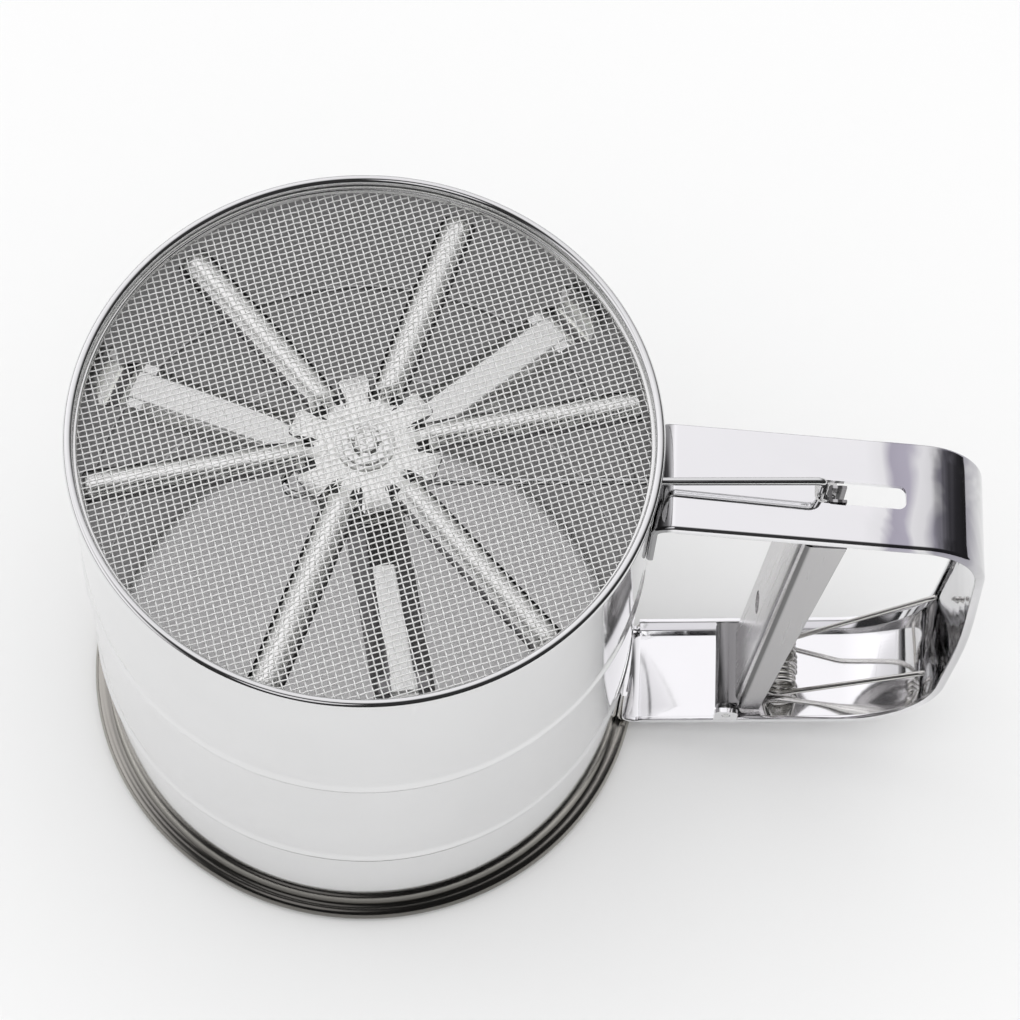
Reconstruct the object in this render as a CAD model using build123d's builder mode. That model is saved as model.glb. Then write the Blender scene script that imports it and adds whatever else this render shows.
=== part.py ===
"""Cup flour sifter with a squeeze handle, standing on its mouth with the sieve end up.

Frame: millimetres, origin at the centre of the mouth rim's resting plane, +Z up to the
sieve end, +X out to the handle.
"""

import os
from math import atan2, cos, hypot, radians, sin

from build123d import *

os.makedirs("parts", exist_ok=True)

# ---------------------------------------------------------------- driving dimensions
cup_height = 98.0
cup_radius = 49.6  # outside of the plain wall
wall = 0.6
hem_radius = 0.85  # rolled hem at the sieve end
bead_radius = 1.6  # rolled bead round the mouth
bead_foot = 0.1  # how far the bead is flattened where it rests
rib_heights = (26.9, 60.9)  # two ribs pressed outward
rib_depth = 0.45
rib_width = 3.0
fit_gap = 0.05  # gap between fixed neighbours
running_gap = 0.06  # gap round turning pieces

mesh_top = cup_height - 3.2
mesh_thickness = 0.8
ring_height = 1.2
ring_width = 1.2

rotor_arms = 6
rotor_arm_angle = 13.1  # first arm, measured from the handle
rotor_reach = 47.3
rotor_crest = cup_height - 4.6
rotor_sheet = 0.6
rotor_arm_width = 6.2
rotor_arm_depth = 1.8
rotor_hub_radius = 9.0
petal_reach = 13.0
petal_width = 5.4
lug_radius = 11.4  # where the wire pulls the rotor
lug_angle = -150.3
lug_width = 1.6
lug_sheet = 0.8

spider_top = cup_height - 12.4
spider_sheet = 0.8
spider_arms = 3
spider_arm_angle = 42.4
spider_arm_width = 10.2
spider_flat_width = 4.2
spider_arm_depth = 2.2
spider_hub_radius = 11.5
spider_crank = 3.4  # how far each arm steps down before its foot
spider_foot_width = 8.6
spider_foot_top = cup_height - 8.6

shaft_radius = 2.0
groove_radius = 1.5
clip_radius = 4.1
clip_sheet = 0.5
washer_radius = 5.0
washer_sheet = 0.4
bush_radius = 3.2
rivet_head_radius = 4.0
rivet_head_height = 1.3

wire_radius = 0.7
wire_height = cup_height - 8.6
wire_window = (51.0, -2.3)  # the wire bends here, in the cup's window
hook_x = 77.5  # the wire turns down here, in front of the neck
hook_top = cup_height - 7.3
hook_height = cup_height - 13.6
wire_end_x = 80.1
eye_radius = 1.95  # clear inside radius of the wire's eye
eye_offset = (-0.66, -0.53)  # eye centre from the lug at rest
window_y = -4.1
window_z = cup_height - 9.1
window_width = 6.6
window_height = 3.2

strip = 0.9  # handle sheet thickness
handle_start_x = 53.0  # where the folded edges start
top_leg_start_z = cup_height - 10.7  # upper face of the top leg at handle_start_x
top_leg_slope = -0.061
low_leg_start_z = 3.3  # underside of the lower leg at handle_start_x
low_leg_slope = 0.156
top_corner_x = 106.6
side_crown = (109.0, 48.0)  # the far side bows out to here
low_corner_x = 107.2
near_edge_top = 10.2  # distance of the strip's -Y edge from the handle's middle plane
near_edge_low = 10.7
far_edge_top = 10.2
far_edge_low = 9.4
flange_top = 1.7
flange_low = 4.6  # the +Y fold is deep along the lower leg, the -Y fold stays shallow
foot_length = 12.5
foot_bend = 3.0
top_bend = 13.0
side_bend = 150.0
low_bend = 20.0

pivot_x = 69.2
pivot_z = 9.5
pin_radius = 0.8
ear_width = 4.4  # the ear on the shallow fold that holds the pin
ear_top = 1.7  # above the pin's axis
knuckle_radius = 2.1
trigger_y = -0.4
trigger_half_width = 8.4
trigger_sheet = 0.9
trigger_profile = ((70.6, 9.0), (75.6, 9.0), (82.5, 80.5), (74.7, 80.5))
neck_y = -1.15  # the neck and the wire's end share this line
neck_x = 78.7
neck_depth = 3.1
neck_width = 3.2
neck_sheet = 0.55
neck_hole_radius = 1.05
neck_top = cup_height - 11.9
slot_x = (76.3, 92.1)
slot_y = -0.65
slot_width = 4.4
web_hole_radius = 2.2
web_hole_y = 1.2
web_hole_z = 36.0

coil_x = 78.7
coil_z = 12.7
coil_mean_radius = 3.0
coil_half_length = 6.1
spring_wire_radius = 0.5
leg_y = 5.4
far_leg_end = (105.9, 33.4)
near_leg_end = (105.2, 23.2)
bridge_y = 1.1

# ---------------------------------------------------------------- worked-out places
inner_radius = cup_radius - wall
hem_z = cup_height - hem_radius
hem_centre = cup_radius + 0.4 - hem_radius
bead_centre = inner_radius + bead_radius
bead_z = bead_radius - bead_foot
sieve_radius = inner_radius - fit_gap
rotor_plate_z = rotor_crest - rotor_arm_depth
rotor_plate_top = rotor_plate_z + rotor_sheet
clip_z = rotor_plate_top + washer_sheet + 2 * fit_gap
shaft_top = clip_z + clip_sheet + 0.4
handle_foot_x = cup_radius + fit_gap
lug_x = lug_radius * cos(radians(lug_angle))
lug_y = lug_radius * sin(radians(lug_angle))


def low_leg_z(x):
    """Height of the lower leg's underside at a distance x from the cup's axis."""
    return low_leg_start_z + (x - handle_start_x) * low_leg_slope


def top_leg_z(x):
    """Height of the top leg's upper face at a distance x from the cup's axis."""
    return top_leg_start_z + (x - handle_start_x) * top_leg_slope


def near_edge(z):
    """How far the strip reaches towards -Y at a height."""
    slope = (near_edge_top - near_edge_low) / (top_leg_start_z - low_leg_start_z)
    return near_edge_low + (z - low_leg_start_z) * slope


def far_edge(z):
    """How far the strip reaches towards +Y at a height."""
    slope = (far_edge_top - far_edge_low) / (top_leg_start_z - low_leg_start_z)
    return far_edge_low + (z - low_leg_start_z) * slope


def round_corner(outline, corner, radius):
    """Round the vertex of an outline that lies at a corner point."""
    fillet(outline.vertices().sort_by_distance(corner)[0], radius)


def export_piece(piece, name):
    """Label one finished piece and write it to its own file."""
    piece.part.label = name
    export_step(piece.part, f"parts/{name}.step")


# ---------------------------------------------------------------- cup
with BuildPart() as cup_shell:
    with BuildSketch(Plane.XZ):
        with Locations(((inner_radius + cup_radius) / 2, (bead_z + hem_z) / 2)):
            Rectangle(wall, hem_z - bead_z)
        for rib_z in rib_heights:
            for radius, mode in ((cup_radius, Mode.ADD), (inner_radius, Mode.SUBTRACT)):
                with BuildLine():
                    rib = ThreePointArc(
                        (radius, rib_z - rib_width / 2),
                        (radius + rib_depth, rib_z),
                        (radius, rib_z + rib_width / 2),
                    )
                    Line(rib @ 1, rib @ 0)
                make_face(mode=mode)
        with Locations((hem_centre, hem_z)):
            Circle(hem_radius)
        with Locations((bead_centre, bead_z)):
            Circle(bead_radius)
            Circle(bead_radius - wall, mode=Mode.SUBTRACT)
        # the bead's curl ends just short of the wall
        with Locations((bead_centre - 0.4 * bead_radius, bead_z + 0.8 * bead_radius)):
            Rectangle(0.3, 1.2, mode=Mode.SUBTRACT)
        with Locations((bead_centre, -bead_radius)):
            Rectangle(4 * bead_radius, 2 * bead_radius, mode=Mode.SUBTRACT)
    revolve(axis=Axis.Z)
    # window for the pull wire
    with BuildSketch(Plane.YZ.offset(inner_radius - 3)):
        with Locations((window_y, window_z)):
            SlotOverall(window_width, window_height)
    extrude(amount=6, mode=Mode.SUBTRACT)
export_piece(cup_shell, "cup_shell")

# ---------------------------------------------------------------- sieve
with BuildPart() as sieve_mesh:
    with BuildSketch(Plane.XY.offset(mesh_top - mesh_thickness)):
        Circle(sieve_radius)
    extrude(amount=mesh_thickness)
export_piece(sieve_mesh, "sieve_mesh")

with BuildPart() as mesh_ring:
    with BuildSketch(Plane.XZ):
        with Locations((sieve_radius - ring_width / 2, mesh_top + fit_gap + ring_height / 2)):
            RectangleRounded(ring_width, ring_height, 0.3)
    revolve(axis=Axis.Z)
export_piece(mesh_ring, "mesh_ring")

# ---------------------------------------------------------------- rotor
arm_edge = rotor_arm_width / 2
arm_inner_edge = arm_edge - rotor_sheet
with BuildPart() as rotor_arm:
    with BuildSketch(Plane.YZ.offset(rotor_hub_radius - 2)):
        with BuildLine():
            outside = ThreePointArc(
                (-arm_edge, rotor_plate_z), (0, rotor_crest), (arm_edge, rotor_plate_z)
            )
            inside = ThreePointArc(
                (arm_inner_edge, rotor_plate_z),
                (0, rotor_crest - rotor_sheet),
                (-arm_inner_edge, rotor_plate_z),
            )
            Line(outside @ 1, inside @ 0)
            Line(inside @ 1, outside @ 0)
        make_face()
    extrude(amount=rotor_reach - rotor_hub_radius + 2)

with BuildPart() as rotor:
    with BuildSketch(Plane.XY.offset(rotor_plate_z)):
        Circle(rotor_hub_radius)
        with PolarLocations(0, rotor_arms, start_angle=rotor_arm_angle + 180 / rotor_arms):
            with Locations((petal_reach - 4, 0)):
                RectangleRounded(8, petal_width, 1.2)
        with PolarLocations(lug_radius - 1.6, 1, start_angle=lug_angle):
            RectangleRounded(5, 3.2, 0.8)
    extrude(amount=rotor_sheet)
    with PolarLocations(0, rotor_arms, start_angle=rotor_arm_angle):
        add(rotor_arm.part)
    # the lug is bent down from the plate to hold the wire's eye
    lug_bottom = wire_height - wire_radius - 0.9
    with BuildSketch(Plane.XY.offset(lug_bottom)):
        with PolarLocations(lug_radius, 1, start_angle=lug_angle):
            RectangleRounded(lug_sheet, lug_width, 0.2)
    extrude(amount=rotor_plate_z - lug_bottom + 0.1)
    with BuildSketch(Plane.XY.offset(lug_bottom - 1)):
        Circle(shaft_radius + running_gap)
    extrude(amount=rotor_crest, mode=Mode.SUBTRACT)
export_piece(rotor, "rotor")

# ---------------------------------------------------------------- spider bracket
half_arm = spider_arm_width / 2
half_flat = spider_flat_width / 2
flat_end = 42.5
foot_x = 48.3
with BuildPart() as spider_arm:
    with BuildSketch(Plane.YZ.offset(spider_hub_radius - 4)):
        with BuildLine():
            Polyline(
                (-half_arm, spider_top - spider_arm_depth),
                (-half_flat, spider_top),
                (half_flat, spider_top),
                (half_arm, spider_top - spider_arm_depth),
                (half_arm, spider_top - spider_arm_depth - spider_sheet),
                (half_flat - 0.2, spider_top - spider_sheet),
                (0.2 - half_flat, spider_top - spider_sheet),
                (-half_arm, spider_top - spider_arm_depth - spider_sheet),
                close=True,
            )
        make_face()
    extrude(amount=flat_end - spider_hub_radius + 4)
    with BuildSketch(Plane.XZ):
        with BuildLine() as crank:
            Polyline(
                (flat_end - 3, spider_top - spider_sheet),
                (flat_end - 0.5, spider_top - spider_sheet),
                (foot_x - 1.5, spider_top - spider_crank - spider_sheet),
                (foot_x, spider_top - spider_crank - spider_sheet),
                (foot_x, spider_foot_top),
            )
            offset(amount=spider_sheet, side=Side.LEFT)
        make_face()
    extrude(amount=spider_foot_width / 2, both=True)
    # the foot follows the round wall
    with BuildSketch(Plane.XY.offset(spider_top - 20)):
        Circle(inner_radius - fit_gap)
    extrude(amount=40, mode=Mode.INTERSECT)

with BuildPart() as spider_bracket:
    with BuildSketch(Plane.XY.offset(spider_top - spider_sheet)):
        Circle(spider_hub_radius)
    extrude(amount=spider_sheet)
    with PolarLocations(0, spider_arms, start_angle=spider_arm_angle):
        add(spider_arm.part)
    with BuildSketch(Plane.XY.offset(spider_top - 5)):
        Circle(shaft_radius + 0.02)
    extrude(amount=10, mode=Mode.SUBTRACT)
export_piece(spider_bracket, "spider_bracket")

# ---------------------------------------------------------------- centre shaft and its stack
rivet_bottom = spider_top - spider_sheet - fit_gap
with BuildPart() as centre_rivet:
    with BuildSketch(Plane.XY.offset(rivet_bottom)):
        Circle(shaft_radius)
    extrude(amount=shaft_top - rivet_bottom)
    chamfer(centre_rivet.edges().group_by(Axis.Z)[-1], 0.3)
    with BuildSketch(Plane.XY.offset(rivet_bottom)):
        Circle(rivet_head_radius)
    extrude(amount=-rivet_head_height, taper=30)
    with BuildSketch(Plane.XY.offset(clip_z - 0.03)):
        Circle(shaft_radius + 1)
        Circle(groove_radius, mode=Mode.SUBTRACT)
    extrude(amount=clip_sheet + 0.06, mode=Mode.SUBTRACT)
export_piece(centre_rivet, "centre_rivet")

with BuildPart() as spacer_bush:
    with BuildSketch(Plane.XY.offset(spider_top + fit_gap)):
        Circle(bush_radius)
        Circle(shaft_radius + 0.02, mode=Mode.SUBTRACT)
    extrude(amount=rotor_plate_z - spider_top - 3 * fit_gap)
export_piece(spacer_bush, "spacer_bush")

with BuildPart() as hub_washer:
    with BuildSketch(Plane.XY.offset(rotor_plate_top + fit_gap)):
        Circle(washer_radius)
        Circle(shaft_radius + 0.1, mode=Mode.SUBTRACT)
    extrude(amount=washer_sheet)
    fillet(hub_washer.edges().group_by(Axis.Z)[-1], 0.15)
export_piece(hub_washer, "hub_washer")

with BuildPart() as retaining_clip:
    with BuildSketch(Plane.XY.offset(clip_z)):
        Circle(clip_radius)
        Circle(clip_radius - 1.1, mode=Mode.SUBTRACT)
        with PolarLocations(0, 3, start_angle=30):
            with Locations(((groove_radius + clip_radius) / 2, 0)):
                Rectangle(clip_radius - groove_radius - 0.6, 1.5)
        Circle(groove_radius + 0.02, mode=Mode.SUBTRACT)
        # open mouth that slides over the groove
        with PolarLocations(clip_radius, 1, start_angle=90):
            Rectangle(5, 2 * groove_radius - 0.4, mode=Mode.SUBTRACT)
    extrude(amount=clip_sheet)
export_piece(retaining_clip, "retaining_clip")

# ---------------------------------------------------------------- pull wire
eye_x = lug_x + eye_offset[0]
eye_y = lug_y + eye_offset[1]
eye_centre_line = eye_radius + wire_radius
inside_direction = atan2(wire_window[1] - eye_y, wire_window[0] - eye_x)
inside_start = (
    eye_x + eye_centre_line * cos(inside_direction),
    eye_y + eye_centre_line * sin(inside_direction),
    wire_height,
)
window_point = (*wire_window, wire_height)
outside_direction = atan2(neck_y - wire_window[1], wire_end_x - wire_window[0])
outside_plane = Plane(
    origin=(*wire_window, 0),
    x_dir=(cos(outside_direction), sin(outside_direction), 0),
    z_dir=(sin(outside_direction), -cos(outside_direction), 0),
)
outside_end = hypot(wire_end_x - wire_window[0], neck_y - wire_window[1])
outside_hook = outside_end - (wire_end_x - hook_x)

with BuildPart() as pull_wire:
    with BuildLine() as inside_run:
        Line(inside_start, window_point)
    with BuildSketch(Plane(origin=inside_run.line @ 0, z_dir=inside_run.line % 0)):
        Circle(wire_radius)
    sweep(path=inside_run.line)
    with Locations(window_point):
        Sphere(wire_radius)
    with BuildLine(outside_plane) as outside_run:
        Polyline(
            (0, wire_height),
            (outside_hook, hook_top),
            (outside_hook, hook_height),
            (outside_end, hook_height),
        )
        fillet(outside_run.vertices().sort_by(Axis.Z)[-1], 1.3)
        fillet(outside_run.vertices().sort_by_distance((hook_x, neck_y, hook_height))[0], 1.1)
    with BuildSketch(Plane(origin=outside_run.line @ 0, z_dir=outside_run.line % 0)):
        Circle(wire_radius)
    sweep(path=outside_run.line)
    # the eye round the rotor's lug
    with BuildSketch(Plane.XZ.offset(-eye_y)):
        with Locations((eye_x + eye_centre_line, wire_height)):
            Circle(wire_radius)
    revolve(axis=Axis((eye_x, eye_y, 0), (0, 0, 1)))
export_piece(pull_wire, "pull_wire")

# ---------------------------------------------------------------- handle
top_corner = (top_corner_x, top_leg_z(top_corner_x))
low_corner = (low_corner_x, low_leg_z(low_corner_x))
top_foot = (handle_foot_x, top_leg_z(handle_foot_x))
low_foot = (handle_foot_x, low_leg_z(handle_foot_x))
fold_start = handle_start_x - 1
top_inside = (top_corner_x - flange_top, top_leg_z(top_corner_x) - flange_top)
side_inside = (side_crown[0] - flange_top, side_crown[1])
low_inside = (low_corner_x - flange_top, low_leg_z(low_corner_x) + flange_low)
near_inside = (low_corner_x - flange_top, low_leg_z(low_corner_x) + flange_top)
fold_reach = max(near_edge_low, far_edge_top) + 1

with BuildPart() as handle_band:
    # folded edges, cut from the loop's outline
    with BuildSketch(Plane.XZ):
        with BuildLine() as outer_loop:
            Polyline(
                (handle_start_x, low_leg_start_z),
                (handle_start_x, top_leg_start_z),
                top_corner,
                side_crown,
                low_corner,
                close=True,
            )
            round_corner(outer_loop, top_corner, top_bend)
            round_corner(outer_loop, side_crown, side_bend)
            round_corner(outer_loop, low_corner, low_bend)
        make_face()
        with BuildLine() as inner_loop:
            Polyline(
                (fold_start, low_leg_z(fold_start) + flange_low),
                (fold_start, top_leg_z(fold_start) - flange_top),
                top_inside,
                side_inside,
                low_inside,
                close=True,
            )
            round_corner(inner_loop, top_inside, top_bend - flange_top)
            round_corner(inner_loop, side_inside, side_bend)
            round_corner(inner_loop, low_inside, low_bend - flange_top)
        make_face(mode=Mode.SUBTRACT)
    extrude(amount=fold_reach, both=True)
    with BuildSketch(Plane.XZ):
        with BuildLine() as near_loop:
            Polyline(
                (fold_start, low_leg_z(fold_start) + flange_top),
                (fold_start, top_leg_z(fold_start) - flange_top),
                top_inside,
                side_inside,
                near_inside,
                close=True,
            )
            round_corner(near_loop, top_inside, top_bend - flange_top)
            round_corner(near_loop, side_inside, side_bend)
            round_corner(near_loop, near_inside, low_bend - flange_top)
        make_face()
    extrude(amount=fold_reach, mode=Mode.SUBTRACT)
    with BuildSketch(Plane.YZ):
        with BuildLine():
            Polyline(
                (-near_edge(0) + strip, 0),
                (far_edge(0) - strip, 0),
                (far_edge(cup_height) - strip, cup_height),
                (-near_edge(cup_height) + strip, cup_height),
                close=True,
            )
        make_face()
    extrude(amount=3 * cup_radius, mode=Mode.SUBTRACT)
    # ear on the shallow fold
    ear_base = low_leg_z(pivot_x) + strip / 2
    with BuildSketch(Plane.XZ.offset(near_edge(pivot_z))):
        with Locations((pivot_x, (ear_base + pivot_z + ear_top) / 2)):
            RectangleRounded(ear_width, pivot_z + ear_top - ear_base, 0.6)
    extrude(amount=-strip)
    # the strip itself, with a foot at each end that lies on the cup
    with BuildSketch(Plane.XZ):
        with BuildLine() as loop:
            Polyline(
                (handle_foot_x, top_foot[1] - foot_length),
                top_foot,
                top_corner,
                side_crown,
                low_corner,
                low_foot,
                (handle_foot_x, low_foot[1] + foot_length + 1),
            )
            round_corner(loop, top_foot, foot_bend)
            round_corner(loop, low_foot, foot_bend)
            round_corner(loop, top_corner, top_bend)
            round_corner(loop, side_crown, side_bend)
            round_corner(loop, low_corner, low_bend)
            offset(amount=strip, side=Side.RIGHT)
        make_face()
    extrude(amount=fold_reach, both=True)
    with BuildSketch(Plane.YZ):
        with BuildLine():
            Polyline(
                (-near_edge(0), 0),
                (far_edge(0), 0),
                (far_edge(cup_height), cup_height),
                (-near_edge(cup_height), cup_height),
                close=True,
            )
        make_face()
    extrude(amount=3 * cup_radius, mode=Mode.INTERSECT)
    # slot for the trigger's neck
    with BuildSketch(Plane.XY.offset(top_leg_start_z)):
        with Locations(((slot_x[0] + slot_x[1]) / 2, slot_y)):
            RectangleRounded(slot_x[1] - slot_x[0], slot_width, 1.4)
    extrude(amount=-8, mode=Mode.SUBTRACT)
    # holes for the trigger pin
    with BuildSketch(Plane.XZ):
        with Locations((pivot_x, pivot_z)):
            Circle(pin_radius + 0.02)
    extrude(amount=fold_reach, both=True, mode=Mode.SUBTRACT)
export_piece(handle_band, "handle_band")

# ---------------------------------------------------------------- trigger
with BuildPart() as trigger:
    with BuildSketch(Plane.XZ.offset(-trigger_y)):
        with BuildLine():
            Polyline(*trigger_profile, close=True)
        make_face()
    extrude(amount=trigger_half_width, both=True)
    # hollow on the side away from the cup, with a closed top
    with BuildSketch(Plane.XZ.offset(-trigger_y)):
        with BuildLine():
            (bottom_in, bottom_out, top_out, top_in) = trigger_profile
            Polyline(
                (bottom_in[0] + trigger_sheet, 0),
                (bottom_in[0] + trigger_sheet, bottom_in[1]),
                (top_in[0] + trigger_sheet, top_in[1] - trigger_sheet),
                (top_out[0] + 5, top_out[1] - trigger_sheet),
                (top_out[0] + 5, 0),
                close=True,
            )
        make_face()
    extrude(amount=trigger_half_width - trigger_sheet, both=True, mode=Mode.SUBTRACT)
    # narrow neck that stands through the slot
    with BuildSketch(Plane.XY.offset(trigger_profile[2][1] - trigger_sheet)):
        with Locations((neck_x + neck_depth / 2, neck_y)):
            Rectangle(neck_depth, neck_width)
            with Locations((neck_sheet, 0)):
                Rectangle(neck_depth, neck_width - 2 * neck_sheet, mode=Mode.SUBTRACT)
    extrude(amount=neck_top - trigger_profile[2][1] + trigger_sheet)
    with BuildSketch(Plane.YZ.offset(neck_x - 1)):
        with Locations((neck_y, hook_height)):
            Circle(neck_hole_radius)
    extrude(amount=2.5, mode=Mode.SUBTRACT)
    # dimple hole in the web, where the spring's bridge bears
    with BuildSketch(Plane.YZ.offset(trigger_profile[0][0] - 1)):
        with Locations((web_hole_y, web_hole_z)):
            Circle(web_hole_radius)
    extrude(amount=5, mode=Mode.SUBTRACT)
    # knuckle rolled round the pin
    with BuildSketch(Plane.XZ.offset(-trigger_y)):
        with Locations((pivot_x, pivot_z)):
            Circle(knuckle_radius)
        with Locations(((pivot_x + bottom_in[0] + trigger_sheet) / 2, pivot_z + 1.5)):
            Rectangle(bottom_in[0] + trigger_sheet - pivot_x, 1.0)
    extrude(amount=trigger_half_width, both=True)
    with BuildSketch(Plane.XZ.offset(-trigger_y)):
        with Locations((pivot_x, pivot_z)):
            Circle(pin_radius + running_gap)
    extrude(amount=trigger_half_width + 1, both=True, mode=Mode.SUBTRACT)
export_piece(trigger, "trigger")

with BuildPart() as trigger_pin:
    with BuildSketch(Plane.XZ.offset(near_edge(pivot_z) - fit_gap)):
        with Locations((pivot_x, pivot_z)):
            Circle(pin_radius)
    extrude(amount=2 * fit_gap - near_edge(pivot_z) - far_edge(pivot_z))
    chamfer(trigger_pin.edges().filter_by(GeomType.CIRCLE), 0.15)
export_piece(trigger_pin, "trigger_pin")

# ---------------------------------------------------------------- return spring
# a double torsion spring: the two wound coils are drawn as one sleeve
coil_outer = coil_mean_radius + spring_wire_radius
web_lean = (trigger_profile[3][0] - trigger_profile[0][0]) / (
    trigger_profile[3][1] - trigger_profile[0][1]
)
bridge_top_x = (
    trigger_profile[0][0]
    + trigger_sheet
    + (web_hole_z - trigger_profile[0][1]) * web_lean
    + spring_wire_radius
    + fit_gap
)
with BuildPart() as return_spring:
    with BuildSketch(Plane.XZ):
        with Locations((coil_x, coil_z)):
            Circle(coil_outer)
            Circle(coil_outer - 2 * spring_wire_radius, mode=Mode.SUBTRACT)
    extrude(amount=coil_half_length, both=True)
    for side, (end_x, end_z) in ((1, far_leg_end), (-1, near_leg_end)):
        with BuildLine() as leg:
            Line((coil_x + 1.9, side * leg_y, coil_z - 2.4), (end_x, side * leg_y, end_z))
        with BuildSketch(Plane(origin=leg.line @ 0, z_dir=leg.line % 0)):
            Circle(spring_wire_radius)
        sweep(path=leg.line)
    for side in (1, -1):
        with BuildLine() as bridge:
            Line((coil_x - 2.9, side * bridge_y, coil_z), (bridge_top_x, side * bridge_y, web_hole_z))
        with BuildSketch(Plane(origin=bridge.line @ 0, z_dir=bridge.line % 0)):
            Circle(spring_wire_radius)
        sweep(path=bridge.line)
    with BuildSketch(Plane.XZ):
        with Locations((bridge_top_x, web_hole_z)):
            Circle(spring_wire_radius)
    extrude(amount=bridge_y + 0.45, both=True)
export_piece(return_spring, "return_spring")
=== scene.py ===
import math

import bmesh
import bpy
import numpy as np
from mathutils import Matrix, Vector


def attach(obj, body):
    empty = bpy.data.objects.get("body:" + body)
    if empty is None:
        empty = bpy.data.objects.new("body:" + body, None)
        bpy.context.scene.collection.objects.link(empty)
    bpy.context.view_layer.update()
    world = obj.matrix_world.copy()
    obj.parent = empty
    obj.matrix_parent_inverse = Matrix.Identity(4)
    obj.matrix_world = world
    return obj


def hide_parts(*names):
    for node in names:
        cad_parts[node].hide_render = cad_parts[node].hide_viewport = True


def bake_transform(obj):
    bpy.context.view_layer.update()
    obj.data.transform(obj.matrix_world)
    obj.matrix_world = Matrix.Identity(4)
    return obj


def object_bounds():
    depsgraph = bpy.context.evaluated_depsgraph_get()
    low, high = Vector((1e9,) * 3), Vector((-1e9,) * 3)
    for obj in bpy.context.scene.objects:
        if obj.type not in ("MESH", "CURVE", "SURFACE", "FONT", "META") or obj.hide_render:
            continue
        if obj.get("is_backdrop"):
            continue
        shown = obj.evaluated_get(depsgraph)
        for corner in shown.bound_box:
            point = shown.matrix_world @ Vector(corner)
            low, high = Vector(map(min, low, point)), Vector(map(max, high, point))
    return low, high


# A one-handed flour sifter, standing upside down on its mouth. Lengths are millimetres in the
# shared frame: origin at the centre of the mouth, +Z up to the sieve, +X out to the handle.
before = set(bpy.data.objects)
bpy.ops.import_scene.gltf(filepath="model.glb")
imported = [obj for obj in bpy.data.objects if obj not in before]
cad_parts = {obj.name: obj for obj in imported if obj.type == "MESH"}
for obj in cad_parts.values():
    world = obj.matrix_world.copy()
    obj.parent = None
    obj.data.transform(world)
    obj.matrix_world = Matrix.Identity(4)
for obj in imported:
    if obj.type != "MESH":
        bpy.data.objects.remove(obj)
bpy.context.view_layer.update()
MM = 0.001
rng = np.random.default_rng(41)
CRISP = 32  # degrees: sheet edges that bend more than this are drawn sharp


# ------------------------------------------------------------------ mesh helpers
def face_outwards(mesh):
    bm = bmesh.new()
    bm.from_mesh(mesh)
    bmesh.ops.recalc_face_normals(bm, faces=bm.faces)
    bm.to_mesh(mesh)
    bm.free()


def add_mesh(name, verts, faces, material, slot, sharp=35.0, outwards=True):
    """A shaded object; edges turned by more than `sharp` degrees stay crisp."""
    mesh = bpy.data.meshes.new(name)
    mesh.from_pydata((np.asarray(verts, float) * MM).tolist(), [], faces)
    mesh.validate()
    mesh.shade_smooth()
    mesh.set_sharp_from_angle(angle=math.radians(sharp))
    mesh.materials.append(material)
    obj = bpy.data.objects.new(name, mesh)
    bpy.context.scene.collection.objects.link(obj)
    if outwards:
        face_outwards(mesh)
    return obj


def loft(rings, closed=False):
    """Quads between successive rings; the ends are capped unless the path is closed."""
    rings = np.asarray(rings, float)
    n, m, _ = rings.shape
    faces = []
    for i in range(n if closed else n - 1):
        a, b = i * m, ((i + 1) % n) * m
        for j in range(m):
            k = (j + 1) % m
            faces.append((a + j, b + j, b + k, a + k))
    if not closed:
        faces.append(tuple(range(m)))
        faces.append(tuple(range(n * m - 1, (n - 1) * m - 1, -1)))
    return rings.reshape(-1, 3), faces


def join(*parts):
    """Several (vertices, faces) parts as one."""
    verts, faces, base = [], [], 0
    for v, f in parts:
        verts.append(v)
        faces += [tuple(i + base for i in face) for face in f]
        base += len(v)
    return np.vstack(verts), faces


def rounded_path(corners, radii, line_step=2.0, arc_degrees=4.0):
    """A polyline whose corners are rounded, with straight runs split into short steps."""
    corners = [np.asarray(c, float) for c in corners]
    points = [corners[0]]
    for p0, p1, p2, r in zip(corners, corners[1:], corners[2:], radii):
        a, b = p0 - p1, p2 - p1
        a, b = a / np.linalg.norm(a), b / np.linalg.norm(b)
        angle = math.acos(float(np.clip(a @ b, -1, 1)))
        reach = r / math.tan(angle / 2)
        middle = (a + b) / np.linalg.norm(a + b)
        centre = p1 + middle * r / math.sin(angle / 2)
        start, end = p1 + a * reach - centre, p1 + b * reach - centre
        sweep = math.pi - angle
        steps = max(2, math.ceil(math.degrees(sweep) / arc_degrees))
        for k in range(steps + 1):
            t = k / steps
            mix = math.sin((1 - t) * sweep) * start + math.sin(t * sweep) * end
            points.append(centre + mix / math.sin(sweep))
    points.append(corners[-1])
    path = [points[0]]
    for a, b in zip(points, points[1:]):
        steps = max(1, math.ceil(np.linalg.norm(b - a) / line_step))
        path += [a + (b - a) * k / steps for k in range(1, steps + 1)]
    return np.array(path)


def tangents_of(path):
    t = np.gradient(path, axis=0)
    return t / np.linalg.norm(t, axis=1, keepdims=True)


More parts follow.
